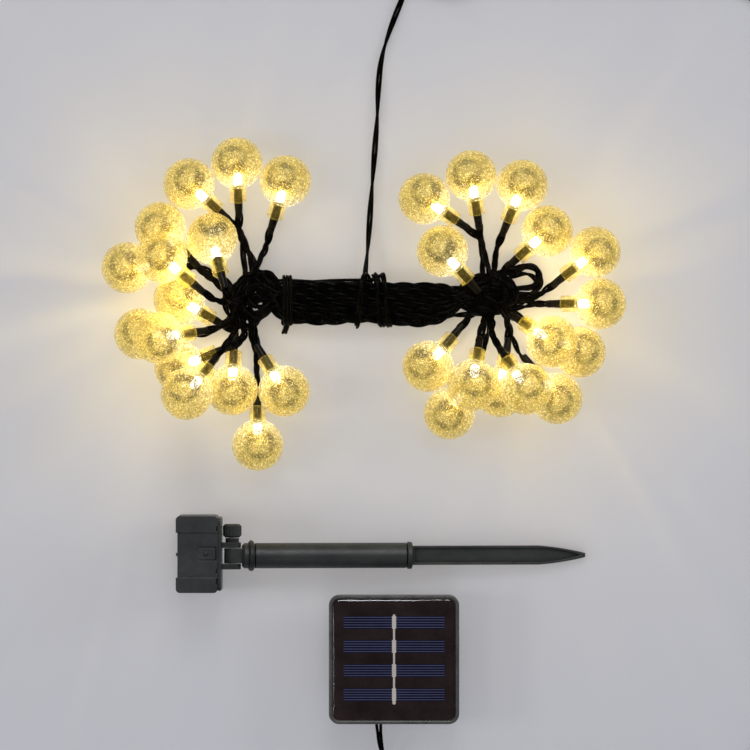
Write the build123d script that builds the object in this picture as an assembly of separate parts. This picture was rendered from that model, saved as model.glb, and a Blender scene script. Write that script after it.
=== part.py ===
from build123d import *
import math
import os

# Solar string lights laid out flat on a surface: thirty lit globes on a cable that is folded into a
# tied hank, a solar module on its lead, and the ground stake kit that the module plugs into.
# Millimetres. +Z is up, the surface is z = 0, and the origin is under the middle of the layout.

# Globes. Their local axis runs from the middle of the globe out through its collar.
GLOBE_RADIUS = 12.5
GLOBE_WALL = 1.2
COLLAR_RADIUS = 4.0
COLLAR_BORE = 3.1
COLLAR_END = 19.2
SLEEVE_RADIUS = 2.1
SLEEVE_TAIL_RADIUS = 1.65
SLEEVE_START = 10.5
TAPER_START = 19.6
SLEEVE_END = 27.0
FLANGE_START = 11.6
FLANGE_END = 12.8
LED_RADIUS = 2.1
LED_START = 4.6

# Each globe: x, y, z of its middle, then the compass angle and the rise of its axis in degrees.
LEFT_GLOBES = [
    (-84.5, 119.3, 12.5, -42, -14),
    (-61.3, 129.5, 12.5, -88, -14),
    (-37.7, 120.8, 12.5, -107, -14),
    (-98.4, 98.2, 12.5, -46, -14),
    (-73.1, 92.6, 22.0, -75, 22),
    (-97.1, 83.4, 32.8, -40, -15),
    (-114.5, 78.8, 12.5, 1, -14),
    (-89.3, 63.3, 12.5, -30, -14),
    (-108.3, 46.6, 12.5, 0, -14),
    (-98.6, 44.6, 36.8, 9, -30),
    (-88.9, 30.6, 12.5, 22, 4),
    (-85.0, 17.5, 34.0, 52, -30),
    (-63.6, 19.6, 12.5, 88, -16),
    (-38.4, 18.9, 12.5, 121, -14),
    (-51.2, -7.3, 12.5, 91, -22),
]
RIGHT_GLOBES = [
    (29.6, 112.2, 12.5, -34, -14),
    (52.4, 123.3, 12.5, -81, -14),
    (77.2, 118.7, 12.5, -112, -14),
    (89.3, 96.5, 12.5, -138, -14),
    (38.4, 86.6, 20.0, -48, -8),
    (112.4, 86.3, 12.5, -142, -14),
    (115.0, 61.3, 12.5, 180, -14),
    (91.0, 42.7, 33.5, 146, -30),
    (105.1, 37.8, 12.5, 150, -14),
    (31.4, 31.0, 12.5, 50, -14),
    (52.7, 21.8, 34.0, 81, -30),
    (41.8, 8.0, 12.5, 60, -14),
    (66.5, 18.7, 12.5, 81, -14),
    (78.4, 19.9, 35.5, 122, -30),
    (93.9, 15.3, 12.5, 128, -14),
]

# The hank of cable between the two clusters.
HANK_Y = 63.0
HANK_Z = 7.6
WAIST_WIDTH = 21.4
WAIST_HEIGHT = 8.4
WAIST_LEFT = -44.0
WAIST_RIGHT = 46.0
FLARE_BOTTOM = 0.6
FLARE_HEIGHT = 12.6
LEFT_FLARE = [
    (-40.5, 73.4), (-43.0, 81.0), (-52.0, 80.5), (-62.0, 76.0), (-66.5, 66.0),
    (-63.5, 54.0), (-54.0, 47.0), (-44.0, 47.5), (-40.5, 52.6),
]
RIGHT_FLARE = [
    (42.0, 73.4), (50.0, 77.0), (61.0, 76.2), (71.5, 73.5), (78.5, 67.0), (73.0, 60.0), (62.0, 56.0),
    (51.0, 54.4), (42.0, 54.0),
]
LEFT_CORE = Vector(-53.0, 64.0, 7.0)
RIGHT_CORE = Vector(53.0, 64.0, 7.0)
GATHER = 9.0
TAIL_RADIUS = 1.3
TAIL_FIRST_RUN = 8.0
TIE_X = -37.0
TIE_WIDTH = 4.4
TIE_THICK = 0.9

# The two-core lead: wound round the waist, along the surface to a coil, and on to the module.
LEAD_RADIUS = 1.5
LEAD_Z = 1.6
WRAP_LEFT = -0.5
WRAP_RIGHT = 12.7
COIL_X = 43.0
COIL_Y = 233.0
COIL_INNER = 11.8
COIL_OUTER = 21.2
COIL_HEIGHT = 9.3
LEAD_FROM_HANK = [
    (1.0, 76.7, 7.0), (2.2, 88.0, 3.4), (3.1, 101.9, LEAD_Z), (4.4, 120.4, LEAD_Z),
    (5.6, 136.3, LEAD_Z), (6.9, 152.9, LEAD_Z), (7.2, 166.0, LEAD_Z), (8.6, 180.7, LEAD_Z),
    (12.6, 194.0, LEAD_Z), (18.4, 208.6, LEAD_Z), (22.6, 219.0, LEAD_Z), (23.6, 230.0, LEAD_Z),
]
LEAD_TO_MODULE = [
    (62.3, 231.0, 6.0), (64.2, 222.5, 3.2), (71.5, 215.8, LEAD_Z), (85.0, 213.4, LEAD_Z),
    (108.0, 214.8, LEAD_Z), (136.0, 213.3, LEAD_Z), (162.0, 214.8, LEAD_Z), (184.5, 213.4, LEAD_Z),
    (195.2, 205.6, LEAD_Z), (196.2, 186.0, LEAD_Z), (195.3, 158.0, LEAD_Z), (196.0, 126.0, LEAD_Z),
    (195.2, 88.0, LEAD_Z), (196.1, 46.0, LEAD_Z), (195.1, 2.0, LEAD_Z), (196.0, -42.0, LEAD_Z),
    (195.0, -84.0, LEAD_Z), (195.8, -120.0, LEAD_Z), (196.0, -143.0, LEAD_Z),
    (191.5, -159.5, LEAD_Z), (176.0, -165.5, LEAD_Z),
    (150.0, -164.6, LEAD_Z), (116.0, -164.2, LEAD_Z), (82.0, -166.4, LEAD_Z),
    (50.0, -166.9, LEAD_Z), (30.0, -171.0, LEAD_Z), (17.8, -169.6, LEAD_Z),
    (10.8, -162.4, 3.4), (8.6, -154.6, 8.0), (7.7, -147.4, 12.4), (7.4, -141.0, 15.0),
]

# Solar module, face up and resting on its battery box. Local origin: its middle, on the surface.
MODULE_X = 14.9
MODULE_Y = -110.8
MODULE_WIDTH = 63.0
MODULE_DEPTH = 62.4
MODULE_CORNER = 5.1
MODULE_TOP = 25.0
BACK_Z = 17.0
BACK_THICK = 2.0
LEDGE_Z = 22.4
RIM_WIDTH = 1.8
BOARD_THICK = 1.2
CELL_THICK = 0.25
CELL_LENGTH = 48.8
CELL_DEPTH = 6.1
CELL_PITCH = 11.65
CELL_ROWS = 4
CELL_SHIFT = 0.5
RIBBON_WIDTH = 2.0
RIBBON_LINK = 1.0
RIBBON_THICK = 0.15
RESIN_TOP = 25.7
BOX_SIDE = 33.0
BOX_WALL = 1.5
COVER_THICK = 1.6
SCREW_OFFSET = 13.0
BATTERY_RADIUS = 5.15
BATTERY_LENGTH = 28.2
BUTTON_OFFSET = 24.0
BUTTON_RADIUS = 3.0
GLAND_OFFSET = -7.5

# Cradle: an open socket lying on its side, mouth towards -X, with the stake hinged to its back.
CRADLE_MOUTH = -90.2
CRADLE_BACK = -70.0
CRADLE_Y = -59.7
CRADLE_SIDE = 37.0
CRADLE_WALL = 1.6
CRADLE_DEPTH = 18.4
CRADLE_RECESS = 0.5
NOTCHES = [(-48.6, -46.2), (-69.0, -66.8), (-74.2, -71.2)]
NOTCH_DEEP = 1.3
NOTCH_LONG = 0.9
NUB_HALF = 0.8
PLATE_THICK = 1.5
TAB_LEFT = -79.6
TAB_RIGHT = -71.2
TAB_Y = -59.3
TAB_WIDTH = 5.4
TAB_GAP = 0.7
TAB_ROOT_GAP = 0.1
TAB_SWING = 2.6
HINGE_X = -63.4
HINGE_Z = CRADLE_SIDE / 2
STAKE_Y = -60.8
EAR_RADIUS = 4.2
EAR_THICK = 2.6
EAR_GAP = 7.8
BOLT_RADIUS = 1.5
WASHER_RADIUS = 3.3
WASHER_THICK = 2.4
KNOB_RADIUS = 4.5
KNOB_LENGTH = 6.5
KNOB_RIBS = 18

# Stake. Local origin: the hinge axis, with +X running down the stake to its tip.
TONGUE_RADIUS = 3.9
CAP_START = 4.8
CAP_END = 7.8
STEM_RADIUS = 4.5
STEM_END = 20.0
RING_RADIUS = 7.5
RING_END = 10.6
TUBE_START = 10.9
TUBE_END = 84.6
TUBE_RADIUS = 6.15
SHANK_RADIUS = 4.5
SHANK_START = 60.0
COLLAR_START = 84.9
COLLAR_STOP = 87.4
STAKE_COLLAR_RADIUS = 6.6
SPIKE_HALF_WIDTH = 4.6
SPIKE_HALF_HEIGHT = 2.6
SPIKE_STRAIGHT = 149.0
SPIKE_TIP = 171.8
TIP_HALF_WIDTH = 1.0
FLANGE_THICK = 1.0
WEB_HALF = 0.8
RUNNING_CLEARANCE = 0.05

# The stake leans down until the lower edge of its tip is on the surface.
DROOP = math.degrees(
    math.asin(HINGE_Z / math.hypot(SPIKE_TIP, SPIKE_HALF_HEIGHT))
    - math.atan2(SPIKE_HALF_HEIGHT, SPIKE_TIP)
)


def block(x0, x1, y0, y1, z0, z1):
    """A box between two corners."""
    return Pos((x0 + x1) / 2, (y0 + y1) / 2, (z0 + z1) / 2) * Box(x1 - x0, y1 - y0, z1 - z0)


def rod(origin, direction, start, end, radius):
    """A cylinder on an axis, from one distance along it to another."""
    place = Plane(origin=origin, z_dir=direction).location
    return place * Pos(0, 0, (start + end) / 2) * Cylinder(radius, end - start)


def plate(width, depth, corner, z0, z1):
    """A slab with rounded corners, centred on the local origin."""
    return Pos(0, 0, z0) * extrude(RectangleRounded(width, depth, corner), z1 - z0)


def save(name, shape):
    """Writes one named piece."""
    export_step(shape, f"parts/{name}.step")


def axis_of(angle, rise):
    """The direction of a globe's axis."""
    a, e = math.radians(angle), math.radians(rise)
    return Vector(math.cos(a) * math.cos(e), math.sin(a) * math.cos(e), math.sin(e))


def turn_between(before, point, after):
    """The angle in degrees by which a route turns at a point."""
    return (point - before).get_angle(after - point)


def cord_tube(name, route, radius, say=True):
    """A round tube along straight runs joined by arcs as large as the runs allow."""
    points = [Vector(*p) for p in route]
    if len(points) == 2:
        path = Line(*points)
    else:
        radii = []
        for before, point, after in zip(points, points[1:], points[2:]):
            shorter = min((point - before).length, (after - point).length)
            half_turn = math.radians(turn_between(before, point, after)) / 2
            radii.append(0.45 * shorter / math.tan(half_turn))
        path = FilletPolyline(*points, radius=radii)
        if say:
            print(name, "radii", " ".join(f"{r:.0f}" for r in radii))
    tube = sweep(Plane(path @ 0, z_dir=path % 0) * Circle(radius), path)
    expected = math.pi * radius**2 * path.length
    if say or abs(tube.volume / expected - 1) > 0.01:
        print(name, "length", round(path.length, 1), "volume share", round(tube.volume / expected, 4))
    return tube


def globe():
    """A hollow globe with its open collar, on the local +Z axis."""
    collar = rod((0, 0, 0), (0, 0, 1), 0, COLLAR_END, COLLAR_RADIUS)
    bore = rod((0, 0, 0), (0, 0, 1), 0, COLLAR_END + 1, COLLAR_BORE)
    return Sphere(GLOBE_RADIUS) + collar - Sphere(GLOBE_RADIUS - GLOBE_WALL) - bore


def led_sleeve():
    """The black holder that plugs into a collar and grips the wires behind it."""
    body = rod((0, 0, 0), (0, 0, 1), SLEEVE_START, TAPER_START, SLEEVE_RADIUS)
    taper = Pos(0, 0, (TAPER_START + SLEEVE_END) / 2) * Cone(
        SLEEVE_RADIUS, SLEEVE_TAIL_RADIUS, SLEEVE_END - TAPER_START
    )
    flange = rod((0, 0, 0), (0, 0, 1), FLANGE_START, FLANGE_END, COLLAR_BORE - 0.02)
    return body + taper + flange


def led_lamp():
    """A round-nosed lamp standing on the front of its sleeve."""
    body = rod((0, 0, 0), (0, 0, 1), LED_START + LED_RADIUS, SLEEVE_START, LED_RADIUS)
    return body + Pos(0, 0, LED_START + LED_RADIUS) * Sphere(LED_RADIUS)


def tail_route(place, core):
    """The way of one globe's wires from its sleeve into the hank's flare."""
    x, y, z, angle, rise = place
    axis = axis_of(angle, rise)
    start = Vector(x, y, z) + axis * SLEEVE_END
    gap = core - start
    flat = Vector(gap.X, gap.Y, 0).length
    if flat < GATHER + TAIL_FIRST_RUN:
        return [tuple(start), (core.X, core.Y, HANK_Z)]
    end = core - gap * (GATHER / flat)
    knee = start + Vector(axis.X, axis.Y, axis.Z / 2).normalized() * TAIL_FIRST_RUN
    if turn_between(start, knee, end) < 2:
        return [tuple(start), tuple(end)]
    return [tuple(start), tuple(knee), tuple(end)]


def string_pieces():
    """The globes with their lamps and sleeves, and the cable's folded hank."""
    sleeve, lamp, bulb = led_sleeve(), led_lamp(), globe()
    sleeves, lamps, tails = [], [], []
    for i, (left, right) in enumerate(zip(LEFT_GLOBES, RIGHT_GLOBES)):
        for number, place, core in ((2 * i + 1, left, LEFT_CORE), (2 * i + 2, right, RIGHT_CORE)):
            x, y, z, angle, rise = place
            there = Plane(origin=(x, y, z), z_dir=axis_of(angle, rise)).location
            save(f"globe_{number:02d}", there * bulb)
            sleeves.append(there * sleeve)
            lamps.append(there * lamp)
            tails.append(cord_tube(f"tail {number}", tail_route(place, core), TAIL_RADIUS, say=False))
    save("led_sleeves", Compound(children=sleeves))
    save("led_lamps", Compound(children=lamps))
    save("bulb_tails", Compound(children=tails))
    save("string_hank", hank())
    save("hank_tie", band_round_waist(TIE_X - TIE_WIDTH / 2, TIE_X + TIE_WIDTH / 2, TIE_THICK))


def waist_section(grow):
    """The rounded section of the hank's waist, grown by a thickness, in the YZ plane."""
    width, height = WAIST_WIDTH + 2 * grow, WAIST_HEIGHT + 2 * grow
    return Plane.YZ * Pos(HANK_Y, HANK_Z) * RectangleRounded(width, height, height / 2 - 0.1)


def hank():
    """The outer shape of the folded cable: a waist with a flare at each end."""
    waist = Pos(WAIST_LEFT, 0, 0) * extrude(waist_section(0), WAIST_RIGHT - WAIST_LEFT)
    for outline in (LEFT_FLARE, RIGHT_FLARE):
        face = make_face(Polyline(*outline, close=True))
        face = fillet(face.vertices(), 2.5)
        flare = Pos(0, 0, FLARE_BOTTOM) * extrude(face, FLARE_HEIGHT)
        waist = waist + chamfer(flare.faces().filter_by(Axis.Z).edges(), 1.2)
    return waist


def band_round_waist(x0, x1, thick):
    """A band wound closely round the hank's waist."""
    return Pos(x0, 0, 0) * extrude(waist_section(thick) - waist_section(0.05), x1 - x0)


def lead_pieces():
    """The lead's winding, its two stretches, its coil and the gland at the module."""
    wrap = band_round_waist(WRAP_LEFT, WRAP_RIGHT, 2 * LEAD_RADIUS)
    near = cord_tube("lead from hank", LEAD_FROM_HANK, LEAD_RADIUS)
    far = cord_tube("lead to module", LEAD_TO_MODULE, LEAD_RADIUS)
    save("panel_lead", Compound(children=[wrap, near, far]))
    coil = Cylinder(COIL_OUTER, COIL_HEIGHT) - Cylinder(COIL_INNER, COIL_HEIGHT)
    coil = Pos(COIL_X, COIL_Y, COIL_HEIGHT / 2 + 0.1) * coil
    save("lead_coil", fillet(coil.edges(), 1.5))


def ring_plate(outer_z0, outer_z1, margin):
    """The bezel's outline as a ring, with the given width of rim."""
    outer = plate(MODULE_WIDTH, MODULE_DEPTH, MODULE_CORNER, outer_z0, outer_z1)
    inner = plate(
        MODULE_WIDTH - 2 * margin, MODULE_DEPTH - 2 * margin, MODULE_CORNER - RIM_WIDTH, outer_z0, outer_z1
    )
    return outer - inner


def screw_places():
    """The four corners of the battery box where its cover is screwed on."""
    return [(sx * SCREW_OFFSET, sy * SCREW_OFFSET) for sx in (-1, 1) for sy in (-1, 1)]


def module_shell():
    """The module's back plate with the battery box standing out of it."""
    back = plate(MODULE_WIDTH, MODULE_DEPTH, MODULE_CORNER, BACK_Z, BACK_Z + BACK_THICK)
    box = plate(BOX_SIDE, BOX_SIDE, 3.0, COVER_THICK, BACK_Z + 0.5)
    hollow = plate(BOX_SIDE - 2 * BOX_WALL, BOX_SIDE - 2 * BOX_WALL, 1.6, COVER_THICK, BACK_Z)
    shell = back + box - hollow
    for x, y in screw_places():
        shell += rod((x, y, 0), (0, 0, 1), COVER_THICK, BACK_Z, 2.2)
        shell -= rod((x, y, 0), (0, 0, 1), COVER_THICK, COVER_THICK + 7, 0.9)
    hole = rod((BUTTON_OFFSET, 0, 0), (0, 0, 1), BACK_Z, BACK_Z + BACK_THICK, BUTTON_RADIUS + 0.35)
    wire_hole = rod((0, 8, 0), (0, 0, 1), BACK_Z - 0.5, BACK_Z + BACK_THICK, 1.5)
    return shell - hole - wire_hole


def battery_cover():
    """The box's cover, with a counterbored hole for each screw."""
    cover = plate(BOX_SIDE, BOX_SIDE, 3.0, 0, COVER_THICK)
    cover = chamfer(cover.faces().sort_by(Axis.Z)[0].edges(), 0.4)
    for x, y in screw_places():
        cover -= rod((x, y, 0), (0, 0, 1), 0, COVER_THICK, 1.0)
        cover -= rod((x, y, 0), (0, 0, 1), 0, 0.9, 1.9)
    return cover


def cover_screws():
    """Four small pan-head screws with crossed slots, in the cover's counterbores."""
    screws = []
    for x, y in screw_places():
        head = rod((x, y, 0), (0, 0, 1), 0.15, 0.9, 1.75)
        slot = block(x - 1.1, x + 1.1, y - 0.2, y + 0.2, 0, 0.5)
        cross = block(x - 0.2, x + 0.2, y - 1.1, y + 1.1, 0, 0.5)
        shank = rod((x, y, 0), (0, 0, 1), 0.9, COVER_THICK + 6, 0.88)
        screws.append(head + shank - slot - cross)
    return Compound(children=screws)


def cell_row_middles():
    """How far each row of cells lies from the module's middle."""
    return [CELL_SHIFT + (i - (CELL_ROWS - 1) / 2) * CELL_PITCH for i in range(CELL_ROWS)]


def solar_face():
    """The cells, the ribbon that joins them, and the clear resin poured over both."""
    z = LEDGE_Z + BOARD_THICK
    half = CELL_LENGTH / 2
    rows = cell_row_middles()
    cells = [
        block(-half, half, y - CELL_DEPTH / 2, y + CELL_DEPTH / 2, z, z + CELL_THICK) for y in rows
    ]
    top = z + CELL_THICK
    low, high = rows[0] - CELL_DEPTH / 2 - 0.8, rows[-1] + CELL_DEPTH / 2 + 0.8
    ribbon = block(-RIBBON_LINK / 2, RIBBON_LINK / 2, low, high, top, top + RIBBON_THICK)
    for y in rows:
        y0, y1 = y - CELL_DEPTH / 2, y + CELL_DEPTH / 2
        ribbon += block(-RIBBON_WIDTH / 2, RIBBON_WIDTH / 2, y0, y1, top, top + RIBBON_THICK)
    ribbon += rod((0, low, 0), (0, 0, 1), top, top + 0.5, 0.9)
    side = 2 * RIM_WIDTH + 0.1
    resin = plate(
        MODULE_WIDTH - side, MODULE_DEPTH - side, MODULE_CORNER - RIM_WIDTH, z, RESIN_TOP
    )
    resin = fillet(resin.faces().sort_by(Axis.Z)[-1].edges(), 1.4)
    for piece in (*cells, ribbon):
        resin -= piece
    return cells, ribbon, resin


def power_button():
    """A round button with a flange that keeps it in the back plate."""
    cap = rod((BUTTON_OFFSET, 0, 0), (0, 0, 1), BACK_Z - 1.4, BACK_Z + 2.3, BUTTON_RADIUS)
    cap = fillet(cap.faces().sort_by(Axis.Z)[0].edges(), 0.6)
    return cap + rod((BUTTON_OFFSET, 0, 0), (0, 0, 1), BACK_Z + 2.3, BACK_Z + 3.1, BUTTON_RADIUS + 0.9)


def battery():
    """A rechargeable cell with its raised positive end, lying along X."""
    middle = (0, 5.0, COVER_THICK + 0.6 + BATTERY_RADIUS)
    half = BATTERY_LENGTH / 2
    can = rod(middle, (1, 0, 0), -half, half - 0.8, BATTERY_RADIUS)
    can = fillet(can.edges(), 0.5)
    return can + rod(middle, (1, 0, 0), half - 0.9, half, 1.9)


def battery_contacts():
    """A contact plate at each end of the cell, with a tag up to the circuit board."""
    half = BATTERY_LENGTH / 2
    middle = COVER_THICK + 0.6 + BATTERY_RADIUS
    plates = []
    for side in (-1, 1):
        x0, x1 = sorted((side * (half + 0.05), side * (half + 0.45)))
        face = block(x0, x1, 1.5, 8.5, middle - 4, middle + 4)
        tag = block(x0, x1, 4.0, 6.0, middle + 4, 14.2)
        plates.append(face + tag)
    return Compound(children=plates)


def circuit_board():
    """The control board over the cell, with its parts, and the button's small switch board."""
    board = block(-13.5, 13.5, -10.0, 9.8, 14.3, 15.3)
    board -= block(-14, -10.6, 9, 10, 14, 16)
    chip = block(-2.6, 2.6, -7.4, -3.2, 13.0, 14.3)
    choke = rod((7.0, -5.5, 0), (0, 0, 1), 11.4, 14.3, 2.0)
    capacitor = rod((-8.0, -5.5, 0), (0, 0, 1), 9.8, 14.3, 2.2)
    switch_base = block(BUTTON_OFFSET - 3, BUTTON_OFFSET + 3, -3, 3, BACK_Z + 4.2, LEDGE_Z - 0.1)
    return Compound(children=[board + chip + choke + capacitor, switch_base])


def cable_gland():
    """The strain relief under the module's edge that the lead leaves."""
    y = -MODULE_DEPTH / 2 + 1.0
    boss = block(GLAND_OFFSET - 3.4, GLAND_OFFSET + 3.4, y, y + 6.4, 12.4, BACK_Z)
    return fillet(boss.edges().filter_by(Axis.Y), 1.0)


def module_pieces():
    """Every piece of the solar module."""
    place = Pos(MODULE_X, MODULE_Y, 0)
    rim = ring_plate(LEDGE_Z, MODULE_TOP, RIM_WIDTH)
    rim = fillet(rim.faces().sort_by(Axis.Z)[-1].edges(), 0.6)
    wall = ring_plate(BACK_Z + BACK_THICK, LEDGE_Z, RIM_WIDTH + 1.7)
    save("module_bezel", place * (rim + wall))
    side = 2 * RIM_WIDTH + 0.1
    board = plate(
        MODULE_WIDTH - side, MODULE_DEPTH - side, MODULE_CORNER - RIM_WIDTH, LEDGE_Z, LEDGE_Z + BOARD_THICK
    )
    save("panel_board", place * board)
    cells, ribbon, resin = solar_face()
    save("solar_cells", place * Compound(children=cells))
    save("cell_ribbon", place * ribbon)
    save("resin_cover", place * resin)
    save("module_shell", place * module_shell())
    save("battery_cover", place * battery_cover())
    save("cover_screws", place * cover_screws())
    save("battery", place * battery())
    save("battery_contacts", place * battery_contacts())
    save("circuit_board", place * circuit_board())
    save("power_button", place * power_button())
    save("cable_gland", place * cable_gland())


def cradle_body():
    """The open socket with a raised band at each end and a window for its tab."""
    half = CRADLE_SIDE / 2
    y0, y1 = CRADLE_Y - half, CRADLE_Y + half
    body = block(CRADLE_MOUTH, CRADLE_BACK, y0, y1, 0, CRADLE_SIDE)
    body = fillet(body.edges().filter_by(Axis.Z), 2.0)
    middle0, middle1 = y0 + 7.4, y1 - 8.0
    for z0, z1 in ((-1, CRADLE_RECESS), (CRADLE_SIDE - CRADLE_RECESS, CRADLE_SIDE + 1)):
        body -= block(CRADLE_MOUTH - 1, CRADLE_BACK + 1, middle0, middle1, z0, z1)
    body -= block(CRADLE_MOUTH - 1, CRADLE_MOUTH + 0.8, middle0, middle1, -1, CRADLE_SIDE + 1)
    wall = CRADLE_WALL
    body -= block(
        CRADLE_MOUTH - 1, CRADLE_MOUTH + CRADLE_DEPTH, y0 + wall, y1 - wall, wall, CRADLE_SIDE - wall
    )
    floor = CRADLE_SIDE - NOTCH_DEEP
    for y_low, y_high in NOTCHES:
        body -= block(CRADLE_BACK - NOTCH_LONG, CRADLE_BACK + 1, y_low, y_high, floor, CRADLE_SIDE + 1)
    nub = block(
        CRADLE_MOUTH + 0.1, CRADLE_MOUTH + 1.2, CRADLE_Y - NUB_HALF, CRADLE_Y + NUB_HALF,
        CRADLE_SIDE - wall, CRADLE_SIDE - CRADLE_RECESS,
    )
    y_low, y_high = TAB_Y - TAB_WIDTH / 2 - TAB_GAP, TAB_Y + TAB_WIDTH / 2 + TAB_GAP
    window = block(
        TAB_LEFT - TAB_ROOT_GAP, TAB_RIGHT + TAB_GAP, y_low, y_high,
        CRADLE_SIDE - wall - TAB_SWING, CRADLE_SIDE + 1,
    )
    return body + nub - window


def release_tab():
    """The springy tab in the cradle's upper wall, with the dimple that is pressed."""
    top = CRADLE_SIDE - CRADLE_RECESS
    y0, y1 = TAB_Y - TAB_WIDTH / 2, TAB_Y + TAB_WIDTH / 2
    tab = block(TAB_LEFT, TAB_RIGHT, y0, y1, CRADLE_SIDE - CRADLE_WALL, top)
    dimple = Pos(-75.8, TAB_Y, top - 0.6) * Sphere(1.3)
    catch = block(TAB_RIGHT - 1.6, TAB_RIGHT, y0, y1, CRADLE_SIDE - CRADLE_WALL - 0.7, top)
    return tab + dimple + catch


def back_plate():
    """The plate on the cradle's back that carries the two hinge ears."""
    half = CRADLE_SIDE / 2
    plate_right = CRADLE_BACK + PLATE_THICK
    body = block(CRADLE_BACK, plate_right, CRADLE_Y - half + 1, CRADLE_Y + half - 1, 1, CRADLE_SIDE - 1)
    body = fillet(body.edges().filter_by(Axis.X), 1.5)
    middle = (HINGE_X, STAKE_Y, HINGE_Z)
    for side in (-1, 1):
        a, b = sorted((side * EAR_GAP / 2, side * (EAR_GAP / 2 + EAR_THICK)))
        lug = block(
            plate_right - 0.5, HINGE_X, STAKE_Y + a, STAKE_Y + b, HINGE_Z - EAR_RADIUS, HINGE_Z + EAR_RADIUS
        )
        body += lug + rod(middle, (0, 1, 0), a, b, EAR_RADIUS)
    body -= rod(middle, (0, 1, 0), -20, 20, BOLT_RADIUS)
    return body - rod(middle, (0, 1, 0), -EAR_GAP / 2 - EAR_THICK, -EAR_GAP / 2 - EAR_THICK + 1.7, 2.8)


def pivot_bolt():
    """The hinge bolt: a flat head in one ear, a shank through the tongue, and its end in the knob."""
    middle = (HINGE_X, STAKE_Y, HINGE_Z)
    ear_face = EAR_GAP / 2 + EAR_THICK
    head = rod(middle, (0, 1, 0), -ear_face, -ear_face + 1.7, 2.7)
    knob_end = ear_face + WASHER_THICK + KNOB_LENGTH - 1.5
    return head + rod(middle, (0, 1, 0), -ear_face + 1.7, knob_end, BOLT_RADIUS)


def pivot_washer():
    """The thick washer between the ear and the knob."""
    middle = (HINGE_X, STAKE_Y, HINGE_Z)
    ear_face = EAR_GAP / 2 + EAR_THICK
    ring = rod(middle, (0, 1, 0), ear_face, ear_face + WASHER_THICK - 0.3, WASHER_RADIUS)
    return ring - rod(middle, (0, 1, 0), 0, 20, BOLT_RADIUS)


def thumb_knob():
    """A ribbed clamping knob with a chamfered end."""
    middle = (HINGE_X, STAKE_Y, HINGE_Z)
    start = EAR_GAP / 2 + EAR_THICK + WASHER_THICK
    end = start + KNOB_LENGTH
    core = rod(middle, (0, 1, 0), start, end, KNOB_RADIUS - 0.25)
    core = chamfer(core.edges().filter_by(GeomType.CIRCLE), 0.8)
    for i in range(KNOB_RIBS):
        turn = 2 * math.pi * i / KNOB_RIBS
        x = HINGE_X + (KNOB_RADIUS - 0.4) * math.cos(turn)
        z = HINGE_Z + (KNOB_RADIUS - 0.4) * math.sin(turn)
        core += rod((x, STAKE_Y, z), (0, 1, 0), start + 0.9, end - 0.9, 0.4)
    bore = rod(middle, (0, 1, 0), start - 1, end - 1.2, BOLT_RADIUS + RUNNING_CLEARANCE)
    return core - bore


def stake_neck():
    """The tongue between the ears, the cap behind it and the stem that enters the tube."""
    along = (1, 0, 0)
    tongue_half = EAR_GAP / 2 - 0.3
    tongue = rod((0, 0, 0), (0, 1, 0), -tongue_half, tongue_half, TONGUE_RADIUS)
    tongue += block(0, CAP_START + 0.5, -tongue_half, tongue_half, -TONGUE_RADIUS, TONGUE_RADIUS)
    cap = rod((0, 0, 0), along, CAP_START, CAP_END, TUBE_RADIUS)
    cap = chamfer(cap.faces().sort_by(Axis.X)[0].edges(), 1.0)
    stem = rod((0, 0, 0), along, CAP_END, STEM_END, STEM_RADIUS)
    pin = rod((0, 0, 0), (0, 1, 0), -10, 10, BOLT_RADIUS + RUNNING_CLEARANCE)
    return tongue + cap + stem - pin


def neck_ring():
    """The rounded ring seated on the stem between the cap and the tube."""
    ring = rod((0, 0, 0), (1, 0, 0), CAP_END, RING_END, RING_RADIUS)
    ring = fillet(ring.edges().filter_by(GeomType.CIRCLE), 1.35)
    return ring - rod((0, 0, 0), (1, 0, 0), 0, 30, STEM_RADIUS)


def stake_tube():
    """The plain round tube that takes the neck at one end and the spike at the other."""
    outer = rod((0, 0, 0), (1, 0, 0), TUBE_START, TUBE_END, TUBE_RADIUS)
    outer = chamfer(outer.edges().filter_by(GeomType.CIRCLE), 0.3)
    return outer - rod((0, 0, 0), (1, 0, 0), 0, 100, STEM_RADIUS + RUNNING_CLEARANCE)


def spike_outline(inset):
    """Half-symmetric blade outline: straight sides that curve in to a blunt tip."""
    half = SPIKE_HALF_WIDTH - inset
    tip_half = max(TIP_HALF_WIDTH - inset, 0.15)
    start = COLLAR_STOP - 0.3 if inset == 0 else COLLAR_STOP + 1.2
    tip = SPIKE_TIP - 2.2 * inset
    lower = [(start, -half), (SPIKE_STRAIGHT, -half)]
    sides = Polyline((SPIKE_STRAIGHT, half), (start, half), *lower)
    middle = (SPIKE_STRAIGHT + tip) / 2
    bulge = half * 0.72
    upper_arc = ThreePointArc((SPIKE_STRAIGHT, half), (middle, bulge), (tip, tip_half))
    lower_arc = ThreePointArc((tip, -tip_half), (middle, -bulge), (SPIKE_STRAIGHT, -half))
    end = Line((tip, tip_half), (tip, -tip_half))
    return make_face([*sides.edges(), *upper_arc.edges(), *end.edges(), *lower_arc.edges()])


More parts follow.
